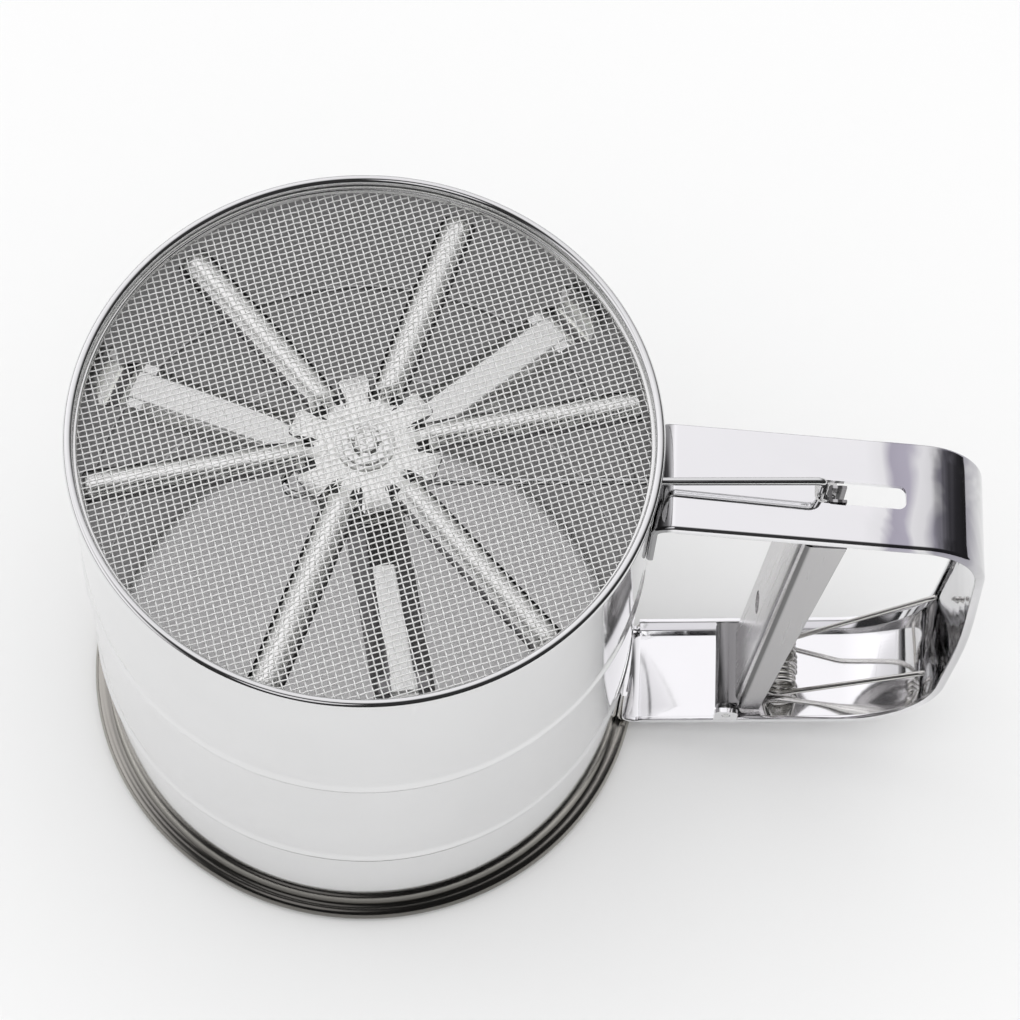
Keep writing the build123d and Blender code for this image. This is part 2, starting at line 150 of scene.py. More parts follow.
def tube(path, radius, sides):
    """A round wire along a path, with its ends rounded over."""
    path = np.asarray(path, float)
    tan = tangents_of(path)
    caps = np.radians([12, 40, 68])
    head = [path[0] + tan[0] * radius * (1 - math.cos(a)) for a in caps]
    tail = [path[-1] - tan[-1] * radius * (1 - math.cos(a)) for a in caps]
    path = np.vstack([head, path[1:-1], tail[::-1]])
    scale = np.concatenate([np.sin(caps), np.ones(len(path) - 6), np.sin(caps)[::-1]])
    tan = np.vstack([[tan[0]] * 3, tan[1:-1], [tan[-1]] * 3])
    up = np.array([0, 0, 1.0]) if abs(tan[0][2]) < 0.9 else np.array([1.0, 0, 0])
    rings = []
    angles = np.linspace(0, 2 * math.pi, sides, endpoint=False)
    for p, t, s in zip(path, tan, scale):
        up = up - t * (up @ t)
        up /= np.linalg.norm(up)
        side = np.cross(t, up)
        rings.append(p + radius * s * (np.outer(np.cos(angles), side) + np.outer(np.sin(angles), up)))
    return loft(rings)


def lathe(outline, segments):
    """A closed outline of (radius, height) turned round the Z axis."""
    turn = np.linspace(0, 2 * math.pi, segments, endpoint=False)
    outline = np.asarray(outline, float)
    rings = np.empty((segments, len(outline), 3))
    rings[:, :, 0] = np.outer(np.cos(turn), outline[:, 0])
    rings[:, :, 1] = np.outer(np.sin(turn), outline[:, 0])
    rings[:, :, 2] = outline[:, 1]
    return loft(rings, closed=True)


def arc(cx, cy, r, start, end, steps):
    """Points on a circle about (cx, cy), from one angle to another in degrees."""
    a = np.radians(np.linspace(start, end, steps))
    return [(cx + r * c, cy + r * s) for c, s in zip(np.cos(a), np.sin(a))]


def rounded_box(x0, x1, z0, z1, r, steps=4):
    """A rounded rectangle outline, counter-clockwise."""
    return (
        arc(x1 - r, z0 + r, r, -90, 0, steps)
        + arc(x1 - r, z1 - r, r, 0, 90, steps)
        + arc(x0 + r, z1 - r, r, 90, 180, steps)
        + arc(x0 + r, z0 + r, r, 180, 270, steps)
    )


def fold(hw, depth, sheet, outer, inner, edge):
    """One folded side of a channel, from the web's outer face round to its inner face."""
    return (
        arc(hw - outer, -outer, outer, 90, 0, 8)
        + arc(hw - edge, -depth + edge, edge, 0, -90, 4)
        + arc(hw - sheet + edge, -depth + edge, edge, -90, -180, 4)
        + arc(hw - sheet - inner, -sheet - inner, inner, 0, 90, 5)
    )


def channel(near, far, near_depth, far_depth, sheet, outer, inner, edge, columns=9):
    """Half-open box section as (y, n) points: the web lies at n = 0, the folds reach n = -depth."""
    right = fold(far, far_depth, sheet, outer, inner, edge)
    left = [(-y, n) for y, n in reversed(fold(near, near_depth, sheet, outer, inner, edge))]
    top = [(y, 0.0) for y in np.linspace(outer - near, far - outer, columns)[1:-1]]
    inset = sheet + inner
    under = [(y, -sheet) for y in np.linspace(far - inset, inset - near, columns)[1:-1]]
    return np.array(top + right + under + left)


def prism(outline, axis, start, end):
    """A closed 2-D outline pushed along an axis; used as a cutter and for small plates."""
    rings = []
    for at in (start, end):
        if axis == "x":
            rings.append([(at, a, b) for a, b in outline])
        elif axis == "y":
            rings.append([(a, at, b) for a, b in outline])
        else:
            rings.append([(a, b, at) for a, b in outline])
    return loft(rings)


def carve(obj, cutters):
    """Cuts each closed (vertices, faces) shape out of an object."""
    for verts, faces in cutters:
        mesh = bpy.data.meshes.new("cutter")
        mesh.from_pydata((np.asarray(verts) * MM).tolist(), [], faces)
        tool = bpy.data.objects.new("cutter", mesh)
        bpy.context.scene.collection.objects.link(tool)
        face_outwards(mesh)
        mod = obj.modifiers.new("cut", "BOOLEAN")
        mod.operation, mod.solver, mod.object = "DIFFERENCE", "EXACT", tool
        graph = bpy.context.evaluated_depsgraph_get()
        made = bpy.data.meshes.new_from_object(obj.evaluated_get(graph))
        obj.modifiers.remove(mod)
        obj.data = made
        bpy.data.objects.remove(tool)
    obj.data.shade_smooth()
    obj.data.set_sharp_from_angle(angle=math.radians(CRISP))


def smooth_step(t):
    """0 below 0, 1 above 1, and an easy slope between."""
    t = np.clip(t, 0, 1)
    return t * t * (3 - 2 * t)


# ------------------------------------------------------------------ materials
def node(tree, kind, **values):
    """A shader node whose inputs or settings are given by name."""
    made = tree.nodes.new(kind)
    for key, value in values.items():
        if key in made.inputs:
            made.inputs[key].default_value = value
        else:
            setattr(made, key.lower(), value)
    return made


def math_node(tree, kind, *terms):
    """A maths node fed with numbers or sockets; returns its result."""
    made = node(tree, "ShaderNodeMath", operation=kind)
    for socket, value in zip(made.inputs, terms):
        if isinstance(value, (int, float)):
            socket.default_value = value
        else:
            tree.links.new(value, socket)
    return made.outputs[0]


def map_range(tree, source, low, high, to_low=0.0, to_high=1.0, interpolation="LINEAR"):
    """Maps low..high of a socket to to_low..to_high and holds the ends."""
    made = node(tree, "ShaderNodeMapRange", interpolation_type=interpolation)
    for label, value in (("From Min", low), ("From Max", high), ("To Min", to_low), ("To Max", to_high)):
        made.inputs[label].default_value = value
    tree.links.new(source, made.inputs["Value"])
    return made.outputs["Result"]


CLOUD_SHADE, WORN_SHADE = 0.93, 1.08
EDGE_WEAR, SMUDGE, SCRATCH = 0.4, 0.05, 0.05


def steel(name, tint, rough, spread, brush, grain, bump, metal=1.0):
    """Sheet or wire steel: rolling grain along one axis, smudges, fine scratches, bright worn edges."""
    mat = bpy.data.materials.new(name)
    mat.use_nodes = True
    tree = mat.node_tree
    link = tree.links.new
    bsdf = tree.nodes["Principled BSDF"]
    bsdf.inputs["Metallic"].default_value = metal
    place = node(tree, "ShaderNodeTexCoord")
    fine = node(tree, "ShaderNodeMapping", Scale=brush)
    link(place.outputs["Object"], fine.inputs["Vector"])
    lines = node(tree, "ShaderNodeTexNoise", Scale=grain, Detail=4.0, Roughness=0.6)
    link(fine.outputs["Vector"], lines.inputs["Vector"])
    cloud = node(tree, "ShaderNodeTexNoise", Scale=38.0, Detail=5.0, Roughness=0.55, Distortion=0.6)
    link(place.outputs["Object"], cloud.inputs["Vector"])
    slanted = node(tree, "ShaderNodeMapping", Scale=(60, 900, 60), Rotation=(0.4, 0.9, 0.7))
    link(place.outputs["Object"], slanted.inputs["Vector"])
    marks = node(tree, "ShaderNodeTexNoise", Scale=1.6, Detail=2.0)
    link(slanted.outputs["Vector"], marks.inputs["Vector"])
    scratches = map_range(tree, marks.outputs["Fac"], 0.68, 0.8)
    shape = node(tree, "ShaderNodeNewGeometry")
    edges = map_range(tree, shape.outputs["Pointiness"], 0.52, 0.62)
    # colour: slightly darker clouds, lighter worn edges
    clouds = node(tree, "ShaderNodeMix", data_type="RGBA")
    clouds.inputs["A"].default_value = (*[c * CLOUD_SHADE for c in tint], 1)
    clouds.inputs["B"].default_value = (*tint, 1)
    link(cloud.outputs["Fac"], clouds.inputs[0])
    worn = node(tree, "ShaderNodeMix", data_type="RGBA")
    worn.inputs["B"].default_value = (*[min(1, c * WORN_SHADE) for c in tint], 1)
    link(clouds.outputs["Result"], worn.inputs["A"])
    link(math_node(tree, "MULTIPLY", edges, EDGE_WEAR), worn.inputs[0])
    link(worn.outputs["Result"], bsdf.inputs["Base Color"])
    # roughness: base, grain, smudges and scratches added up
    total = max(0.0, rough - spread / 2 - SMUDGE / 2)
    shares = ((lines.outputs["Fac"], spread), (cloud.outputs["Fac"], SMUDGE), (scratches, SCRATCH))
    for source, weight in shares:
        total = math_node(tree, "MULTIPLY_ADD", source, weight, total)
    link(total, bsdf.inputs["Roughness"])
    bumps = node(tree, "ShaderNodeBump", Strength=bump, Distance=0.00002)
    link(lines.outputs["Fac"], bumps.inputs["Height"])
    waves = node(tree, "ShaderNodeBump", Strength=bump, Distance=0.0002)
    link(cloud.outputs["Fac"], waves.inputs["Height"])
    link(bumps.outputs["Normal"], waves.inputs["Normal"])
    link(waves.outputs["Normal"], bsdf.inputs["Normal"])
    return mat


def tone_along(mat, axis, low, high, stops, wobble=0.0, scale=90.0, above=-1.0):
    """Multiplies a steel's colour along one axis of the part, to paint light and shade into it; stops are
    (millimetres, shade).

    Below the height `above` the place counts as 0, which lies before the first stop of an X ramp.
    """
    tree = mat.node_tree
    link = tree.links.new
    colour = tree.nodes["Principled BSDF"].inputs["Base Color"]
    place = node(tree, "ShaderNodeTexCoord")
    parts = node(tree, "ShaderNodeSeparateXYZ")
    link(place.outputs["Object"], parts.inputs[0])
    noise = node(tree, "ShaderNodeTexNoise", Scale=scale, Detail=3.0, Distortion=0.8)
    link(place.outputs["Object"], noise.inputs["Vector"])
    drift = math_node(tree, "MULTIPLY_ADD", noise.outputs["Fac"], wobble * MM, -wobble * MM / 2)
    moved = math_node(tree, "ADD", parts.outputs[axis], drift)
    raised = math_node(tree, "GREATER_THAN", parts.outputs["Z"], above * MM)
    chosen = math_node(tree, "MULTIPLY", moved, raised)
    ramp = node(tree, "ShaderNodeValToRGB")
    for i, (at, shade) in enumerate(stops):
        position = (at - low) / (high - low)
        stop = ramp.color_ramp.elements[i] if i < 2 else ramp.color_ramp.elements.new(position)
        stop.position = position
        stop.color = (*(shade if isinstance(shade, tuple) else (shade,) * 3), 1)
    link(map_range(tree, chosen, low * MM, high * MM), ramp.inputs["Fac"])
    product = node(tree, "ShaderNodeVectorMath", operation="MULTIPLY")
    link(colour.links[0].from_socket, product.inputs[0])
    link(ramp.outputs["Color"], product.inputs[1])
    link(product.outputs[0], colour)


polished = steel("polished_steel", (0.80, 0.80, 0.803), 0.07, 0.04, (40, 40, 900), 1.0, 0.06)
handle_steel = steel("handle_steel", (0.92, 0.915, 0.93), 0.06, 0.04, (30, 900, 30), 1.0, 0.06)
mesh_wire = steel("mesh_wire", (0.94, 0.94, 0.93), 0.3, 0.08, (300, 300, 300), 3.0, 0.08, metal=0.4)
# painted shade: the inside of the cup wall is a darker copy of the polished steel
inner_shaded_steel = steel("inner_wall_painted_shade", (0.4, 0.4, 0.4), 0.3, 0.06, (40, 40, 900), 1.0, 0.06)
# painted shade: the mouth bead is a darker copy of the steel, for its dark reflections and contact shadow
bead_shade_steel = steel("mouth_bead_painted_shade", (0.27, 0.26, 0.24), 0.2, 0.06, (40, 40, 900), 1.0, 0.06)
satin = steel("satin_steel", (0.84, 0.84, 0.83), 0.2, 0.08, (300, 300, 60), 2.0, 0.1)
bright = steel("bright_steel", (0.97, 0.97, 0.955), 0.16, 0.08, (120, 120, 30), 2.0, 0.12, metal=0.9)
spring_steel = steel("spring_wire", (0.7, 0.69, 0.67), 0.18, 0.08, (200, 200, 200), 2.0, 0.08)
brushed = steel("brushed_steel", (0.64, 0.63, 0.635), 0.26, 0.12, (700, 700, 20), 1.4, 0.16)
rotor_steel = steel("rotor_steel", (0.93, 0.93, 0.915), 0.18, 0.1, (120, 120, 30), 2.0, 0.14, metal=0.97)
pull_steel = steel("pull_wire_steel", (0.74, 0.74, 0.745), 0.1, 0.05, (60, 400, 400), 2.0, 0.05)

# painted shade: a dark copy of the steel for the trigger's neck, standing in for the shade in the slot
neck_shade_steel = steel("neck_shade_steel", (0.3, 0.295, 0.3), 0.2, 0.08, (200, 200, 60), 2.0, 0.08)
# painted shade: near-black steel for the crevices at the rotor arms' roots
crevice_shade_steel = steel("crevice_shade_steel", (0.07, 0.07, 0.07), 0.3, 0.1, (200, 200, 60), 2.0, 0.1)
shadow_steel = steel("shadow_steel", (0.26, 0.255, 0.26), 0.22, 0.1, (200, 200, 60), 2.0, 0.1)

# painted shade and painted highlights: dark and bright stripes on the trigger's neck
tone_along(
    neck_shade_steel, "X", 76, 84,
    [(76, 0.5), (79.3, 0.4), (79.5, 1.8), (80.1, 1.8), (80.3, 0.2), (80.9, 0.2), (81.1, 1.0), (84, 0.4)],
)
# painted shade: the dark end of the top leg beside the cup
tone_along(
    handle_steel, "X", 40, 60,
    [(40, 1.0), (47, 1.0), (48, 0.4), (51.3, 0.35), (52.3, 1.0), (60, 1.0)],
    above=60.0,
)
# painted shade: a slow fade darker towards the far bend
tone_along(
    handle_steel, "X", 100, 110,
    [(100, 1.0), (105, 1.0), (106.5, 0.84), (108, 0.68), (110, 0.6)],
    wobble=0.5, above=16.0,
)
# painted reflections: two ragged purple-grey patches on the top leg past the slot
tone_along(
    handle_steel, "X", 50, 110,
    [(50, 1.0), (86, 1.0), (89.5, 0.92), (91.3, (0.46, 0.44, 0.51)), (93.5, (0.5, 0.48, 0.55)),
     (95.3, 0.86), (97.5, 0.82), (99.5, (0.36, 0.35, 0.4)), (102, (0.42, 0.41, 0.45)), (104.5, 0.75),
     (106.5, 1.0), (110, 1.0)],
    wobble=12.0, scale=62.0, above=60.0,
)
# painted shade and painted light: the bead is darker on the near side and lighter on the far side
tone_along(bead_shade_steel, "Y", -52, 52, [(-52, 0.7), (-42, 0.85), (-25, 1.6), (52, 1.9)], wobble=4.0)
# painted reflections: dark and light lines along the trigger's near corner
tone_along(
    brushed, "Y", -9, 9,
    [(-9, 0.86), (-8.79, 0.86), (-8.72, 0.3), (-8.45, 0.3), (-8.3, 1.45), (-7.95, 1.45), (-7.75, 0.35),
     (-7.2, 0.45), (-6.5, 1.1), (0, 1.3), (9, 1.15)],
)

# ------------------------------------------------------------------ cup
CUP_H, CUP_R, WALL = 98.0, 49.6, 0.6
IN_R = CUP_R - WALL
HEM_R, BEAD_R = 0.85, 1.6
hem_c, hem_z = CUP_R + 0.4 - HEM_R, CUP_H - HEM_R
bead_c, bead_z = IN_R + BEAD_R, BEAD_R - 0.1
RIB_HEIGHTS, RIB_OUT, RIB_HALF = (26.9, 60.9), 0.45, 0.85
WINDOW_Y, WINDOW_Z, WINDOW_R, WINDOW_HALF = -4.1, 88.9, 1.6, 1.7


def rib_swell(z):
    return sum(RIB_OUT * np.exp(-(((z - rib) / RIB_HALF) ** 2)) for rib in RIB_HEIGHTS)


def wall_column(radius, z0, z1, step):
    """One face of the wall from z0 to z1, with extra points over each rib."""
    zs = set(np.linspace(z0, z1, int(abs(z1 - z0) / step)).tolist())
    for rib in RIB_HEIGHTS:
        zs |= set((rib + np.linspace(-2.2, 2.2, 15)).tolist())
    zs = sorted((z for z in zs if min(z0, z1) <= z <= max(z0, z1)), reverse=z1 < z0)
    return [(radius + rib_swell(z), z) for z in zs]


# up the outside, round the hem, down the inside, round the bead
cup_outline = (
    wall_column(CUP_R, bead_z + 1.25, hem_z - 0.72, 2.4)
    + arc(hem_c, hem_z, HEM_R, -58, 259.8, 30)[1:]
    + wall_column(IN_R, hem_z - 0.84, bead_z, 4.0)[1:]
    + arc(bead_c, bead_z, BEAD_R, 180, 488.7, 36)[1:-1]
)
cup_verts, cup_faces = lathe(cup_outline, 512)
# the pressed wall is very slightly wavy between its rims
theta = np.arctan2(cup_verts[:, 1], cup_verts[:, 0])
height = cup_verts[:, 2]
free = smooth_step((height - 4) / 12) * smooth_step((94 - height) / 10)
wave = 0.030 * np.sin(3 * theta + height / 17.0) * np.sin(height / 13.0 + 1.1)
wave += 0.018 * np.sin(7 * theta - height / 9.0 + 0.6) + 0.012 * np.sin(13 * theta + height / 21.0)
push = 1 + free * wave / CUP_R
cup_verts[:, 0] *= push
cup_verts[:, 1] *= push
cup_verts[:, 2] = np.maximum(cup_verts[:, 2], 0.0)
cup = add_mesh("cup_shell_visual", cup_verts, cup_faces, polished, "polished_steel", CRISP)
window = arc(WINDOW_Y + WINDOW_HALF, WINDOW_Z, WINDOW_R, -90, 90, 12)
window += arc(WINDOW_Y - WINDOW_HALF, WINDOW_Z, WINDOW_R, 90, 270, 12)
carve(cup, [prism(window, "x", 44, 54)])
INSIDE, BEAD = 1, 2
INSIDE_R, INSIDE_TOP, BEAD_TOP = 49.3, 96.2, 3.35
cup.data.materials.append(inner_shaded_steel)
cup.data.materials.append(bead_shade_steel)
# painted shade: faces inside the cup and faces on the bead take the darker steels
for face in cup.data.polygons:
    from_axis, face_z = math.hypot(face.center.x, face.center.y) / MM, face.center.z / MM
    looks_in = face.normal.to_2d().dot(face.center.to_2d()) < 0
    if from_axis < INSIDE_R and face_z < INSIDE_TOP and looks_in:
        face.material_index = INSIDE
    elif face_z < BEAD_TOP:
        face.material_index = BEAD
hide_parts("cup_shell")
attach(cup, "root")

# ------------------------------------------------------------------ sieve ring and woven wires
RING_R, RING_LOW, RING_TOP = 47.75, 94.85, 96.05
ring_outline = rounded_box(RING_R, IN_R - 0.05, RING_LOW, RING_TOP, 0.3)
ring = add_mesh("mesh_ring_visual", *lathe(ring_outline, 360), satin, "satin_steel")
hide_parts("mesh_ring")
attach(ring, "root")

SIEVE_Z, SIEVE_R = 94.4, IN_R - 0.15
WIRE_R, WIRE_SIDES = 0.132, 6
PITCH_A, PITCH_B = 1.045, 1.285
CRIMP_A, CRIMP_B = 0.07, 0.21
WIRE_STRAY = 0.012
along_a, along_b = (np.array([math.cos(a), math.sin(a)]) for a in np.radians([21.3, 106.8]))
across_a, across_b = (np.array([-along[1], along[0]]) for along in (along_a, along_b))


def wander(p):
    """The slow drift of the cloth, the same for both sets of wires."""
    x, y = p[:, 0] / 49, p[:, 1] / 49
    dx = 0.16 * np.sin(2.1 * y + 0.7) + 0.09 * np.sin(4.3 * x + 2.7 * y)
    dy = 0.14 * np.sin(2.4 * x - 0.4) + 0.08 * np.sin(3.9 * y - 3.1 * x + 1.0)
    return np.stack([dx, dy], 1)


def weave(along, across, pitch, other_across, other_pitch, crimp, sign, step):
    """One set of the cloth's wires as (number, part); each passes over and under the other set."""
    parts = []
    count = int(SIEVE_R / pitch)
    angles = np.linspace(0, 2 * math.pi, WIRE_SIDES, endpoint=False)
    for k in range(-count, count + 1):
        half = math.sqrt(max(0.0, SIEVE_R**2 - (k * pitch) ** 2))
        if half < 1.5:
            # the shortest wires at the edge are left out
            continue
        s = np.linspace(-half, half, int(2 * half / step) + 2)
        p = np.outer(s, along) + k * pitch * across
        z = SIEVE_Z + sign * crimp * np.cos(math.pi * (p @ other_across / other_pitch + k))
        rim = smooth_step((SIEVE_R - np.hypot(p[:, 0], p[:, 1])) / 4)
        p = p + wander(p) * rim[:, None] + rng.normal(0, WIRE_STRAY, 2)[None, :]
        path = np.column_stack([p, z])
        tan = tangents_of(path)
        side = np.cross(tan, [0, 0, 1.0])
        side /= np.linalg.norm(side, axis=1, keepdims=True)
        up = np.cross(side, tan)
        rings = path[:, None, :] + WIRE_R * (
            np.cos(angles)[None, :, None] * side[:, None, :] + np.sin(angles)[None, :, None] * up[:, None, :]
        )
        parts.append((k, loft(rings)))
    return parts


for name, parts in (
    ("sieve_warp", weave(along_a, across_a, PITCH_A, across_b, PITCH_B, CRIMP_A, 1, 0.43)),
    ("sieve_weft", weave(along_b, across_b, PITCH_B, across_a, PITCH_A, CRIMP_B, -1, 0.27)),
):
    lower = [part for k, part in parts if k < 0]
    upper = [part for k, part in parts if k >= 0]
    for label, chosen in (("lower", lower), ("upper", upper)):
        wires = add_mesh(f"{name}_{label}", *join(*chosen), mesh_wire, "mesh_wire", 80, outwards=False)
        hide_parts("sieve_mesh")
        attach(wires, "root")

# ------------------------------------------------------------------ rotor
PLATE_Z, SHEET = 91.6, 0.6
ROTOR_REACH, ROTOR_TURN, ARM_PITCH = 47.3, 13.1, 60
ARM_HALF, ARM_RISE = 3.1, 1.2
PETAL_HALF, PETAL_REACH, PETAL_DISH = 2.7, 13.0, 0.16
PETAL_TURN = ROTOR_TURN + ARM_PITCH / 2
LUG_R, LUG_TURN = 11.4, -150.3


def turned(part, degrees):
    """A part turned about the sifter's axis."""
    verts, faces = part
    a = math.radians(degrees)
    spin = np.array([[math.cos(a), math.sin(a), 0], [-math.sin(a), math.cos(a), 0], [0, 0, 1]])
    return verts @ spin, faces


def degrees_apart(a, b):
    return abs((a - b + 180) % 360 - 180)


def rotor_arm():
    """One arm, pressed to a hollow rib that is bowed across and closed at its tip."""
    rings = []
    tip_start = ROTOR_REACH - 1.0
    tip = [ROTOR_REACH - 0.5, ROTOR_REACH - 0.2, ROTOR_REACH - 0.05, ROTOR_REACH]
    for r in [*np.linspace(6.5, 13, 14), *np.linspace(14, tip_start, 27), *tip]:
        rise = ARM_RISE * smooth_step((r - 8.0) / 4.0)
        end = math.sqrt(max(0.0, 1 - (max(0.0, r - tip_start) / 1.02) ** 2))
        half = ARM_HALF * (0.7 + 0.3 * end) * (0.86 + 0.14 * smooth_step((r - 9) / 8))
        top = PLATE_Z + SHEET + rise * (0.6 + 0.4 * end)
        t = np.linspace(-1, 1, 17)
        bow = 1 - t**2
        low = PLATE_Z + 0.02
        outer = [(r, y, low + (top - low) * b) for y, b in zip(half * t, bow**0.8)]
        inner_half = half - SHEET
        inner_top = max(top - SHEET, low + 0.03)
        inner = [(r, y, low + (inner_top - low) * b) for y, b in zip(inner_half * t[::-1], bow**0.8)]
        rings.append(outer + inner)
    return loft(rings)


def rotor_plate():
    """The hub disc with six petals between the arms, and the tongue that carries the lug."""
    rings = []
    for a in np.radians(np.arange(0, 360, 1.0)):
        reach = 9.0
        for k in range(6):
            d = degrees_apart(math.degrees(a), PETAL_TURN + ARM_PITCH * k)
            if d < 45:
                d = math.radians(max(d, 0.01))
                side, tip = PETAL_HALF / math.sin(d), PETAL_REACH / math.cos(d)
                reach = max(reach, (side**-12 + tip**-12) ** (-1 / 12))
        d = math.radians(max(0.01, degrees_apart(math.degrees(a), LUG_TURN)))
        if d < 0.6:
            reach = max(reach, min(1.6 / math.sin(d), 12.3 / math.cos(d)))
        dish = PETAL_DISH * math.cos(6 * (a - math.radians(PETAL_TURN)))
        lift = smooth_step(np.array([(r - 4.5) / 4.5 for r in (5.5, reach - 0.12, reach)])) * dish
        lo, hi = PLATE_Z, PLATE_Z + SHEET
        half_way, half_lift = (5.5 + reach) / 2, (lift[0] + lift[1]) / 2
        section = [
            (2.06, lo), (2.06, hi), (4.5, hi), (5.5, hi + lift[0]), (half_way, hi + half_lift),
            (reach - 0.15, hi + lift[1]), (reach, hi - 0.12 + lift[2]), (reach, lo + 0.12 + lift[2]),
            (reach - 0.15, lo + lift[1]), (half_way, lo + half_lift), (5.5, lo + lift[0]), (4.5, lo),
        ]
        rings.append([(r * math.cos(a), r * math.sin(a), z) for r, z in section])
    return loft(rings, closed=True)


lug_outline = rounded_box(LUG_R - 0.4, LUG_R + 0.4, -0.8, 0.8, 0.2)
lug = turned(prism(lug_outline, "z", 87.8, PLATE_Z + 0.2), LUG_TURN)
arms = [turned(rotor_arm(), ROTOR_TURN + ARM_PITCH * k) for k in range(6)]
rotor = add_mesh("rotor_visual", *join(rotor_plate(), lug, *arms), rotor_steel, "bright_steel", 40)
SHADOW, CREVICE_SHADE = 1, 2
rotor.data.materials.append(shadow_steel)
rotor.data.materials.append(crevice_shade_steel)
# painted shade: near-black collars where the arms meet the plate, shadow steel on the outer flanks
for face in rotor.data.polygons:
    from_shaft = math.hypot(face.center.x, face.center.y) / MM
    turn = math.degrees(math.atan2(face.center.y, face.center.x)) - ROTOR_TURN
    off_arm = abs((turn + ARM_PITCH / 2) % ARM_PITCH - ARM_PITCH / 2)
    flank = from_shaft > 12.0 and face.center.z / MM < PLATE_Z + 0.8
    collar = 8.8 < from_shaft < 10.6 and 6 < off_arm < 20
    if collar:
        face.material_index = CREVICE_SHADE
    elif flank:
        face.material_index = SHADOW
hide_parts("rotor")
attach(rotor, "rotor_star")

# ------------------------------------------------------------------ spider bracket
SPIDER_Z, SPIDER_SHEET = 85.6, 0.8
SPIDER_TURN, FOOT_R = 42.4, 48.9
RIB_BASE, RIB_DROP, RIB_BEND = 5.1, 2.2, 1.4
SUNK_ARM = 2


def spider_arm(sink, crown):
    """One pressed arm with a flat crown; its root sinks by `sink` before the raised rib begins."""
    rings = []
    for r in [*np.linspace(7.5, 24.0, 56), *np.linspace(25.0, 42.3, 12)]:
        fade = smooth_step((r - 8.0) / 5.0)
        if fade <= 0.05:
            continue
        low = SPIDER_Z - RIB_DROP * fade - 0.001
        dip = sink * float(np.clip((r - 10.0) / 8.4, 0, 1) * (1 - smooth_step((r - 18.6) / 0.9)))
        top = rounded_path(
            [(-RIB_BASE, low), (-crown, SPIDER_Z), (crown, SPIDER_Z), (RIB_BASE, low)],
            [RIB_BEND, RIB_BEND], line_step=1.0, arc_degrees=6.0,
        )
        if rings:
            # every section has as many points as the first
            t = np.linspace(0, len(top) - 1, len(rings[0]) // 2)
            top = np.column_stack([np.interp(t, np.arange(len(top)), top[:, i]) for i in (0, 1)])
        under = top[::-1] - [0, SPIDER_SHEET]
        rings.append([(r, y, z - dip) for y, z in np.vstack([top, under])])
    return loft(rings)


def spider_foot():
    """The cranked end of an arm, turned up flat against the wall, narrowing to its top."""
    high, low = SPIDER_Z - 0.9, SPIDER_Z - 4.2
    path = rounded_path(
        [(39.5, 0, high), (42.2, 0, high), (46.6, 0, low), (48.3, 0, low), (48.3, 0, 89.4)],
        [1.0, 0.8, 0.7], line_step=0.6, arc_degrees=12,
    )
    tan = tangents_of(path)
    rings = []
    for p, t in zip(path, tan):
        normal = np.array([-t[2], 0, t[0]])
        half = 4.3 * (1 - 0.35 * smooth_step((p[2] - 87.6) / 1.8))
        ys = np.linspace(-half, half, 9)
        follow = smooth_step((p[0] - 44.0) / 4.0)
        ring = []
        for lift, row in ((SPIDER_SHEET, ys), (0.0, ys[::-1])):
            for y in row:
                q = p + normal * lift
                ring.append((q[0] - follow * (FOOT_R - math.sqrt(FOOT_R**2 - y * y)), y, q[2]))
        rings.append(ring)
    return loft(rings)


hub = lathe(rounded_box(2.02, 11.5, SPIDER_Z - SPIDER_SHEET, SPIDER_Z, 0.2), 96)
parts = [hub]
for k in range(3):
    arm = spider_arm(2.6, 1.8) if k == SUNK_ARM else spider_arm(0.0, 2.8)
    parts += [turned(arm, SPIDER_TURN + 120 * k), turned(spider_foot(), SPIDER_TURN + 120 * k)]
spider = add_mesh("spider_bracket_visual", *join(*parts), bright, "bright_steel", 40)
spider.data.materials.append(shadow_steel)
sunk_turn = math.radians(SPIDER_TURN + 120 * SUNK_ARM)
for face in spider.data.polygons:
    along = (face.center.x * math.cos(sunk_turn) + face.center.y * math.sin(sunk_turn)) / MM
    aside = abs(face.center.y * math.cos(sunk_turn) - face.center.x * math.sin(sunk_turn)) / MM
    sunk = 11.4 < along < 19.2 and aside < 6.0
    flank = 17.0 < along < 44.0 and 2.0 < aside < 6.0
    crank = 43.6 < math.hypot(face.center.x, face.center.y) / MM < 46.2
    if sunk or flank or crank:
        face.material_index = SHADOW
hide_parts("spider_bracket")
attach(spider, "root")

# ------------------------------------------------------------------ centre shaft, bush and washer
clip_z = PLATE_Z + SHEET + 0.5
rivet_outline = [(0.02, 83.5), (3.2, 83.5), (3.95, 84.6), (4.0, 84.72), (2.0, 84.76)]
rivet_outline += [(2.0, clip_z - 0.05), (1.5, clip_z - 0.03), (1.5, clip_z + 0.53), (2.0, clip_z + 0.55)]
rivet_outline += [(2.0, clip_z + 0.62), (1.75, clip_z + 0.88), (0.6, clip_z + 0.9), (0.02, clip_z + 0.78)]
for cad, outline in (
    ("centre_rivet", rivet_outline),
    ("spacer_bush", rounded_box(2.02, 3.2, SPIDER_Z + 0.05, PLATE_Z - 0.1, 0.2)),
    ("hub_washer", rounded_box(2.1, 5.0, PLATE_Z + 0.65, PLATE_Z + 1.05, 0.15)),
):
    turned_piece = add_mesh(f"{cad}_visual", *lathe(outline, 96), satin, "satin_steel", 30)
    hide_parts(cad)
    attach(turned_piece, "root")

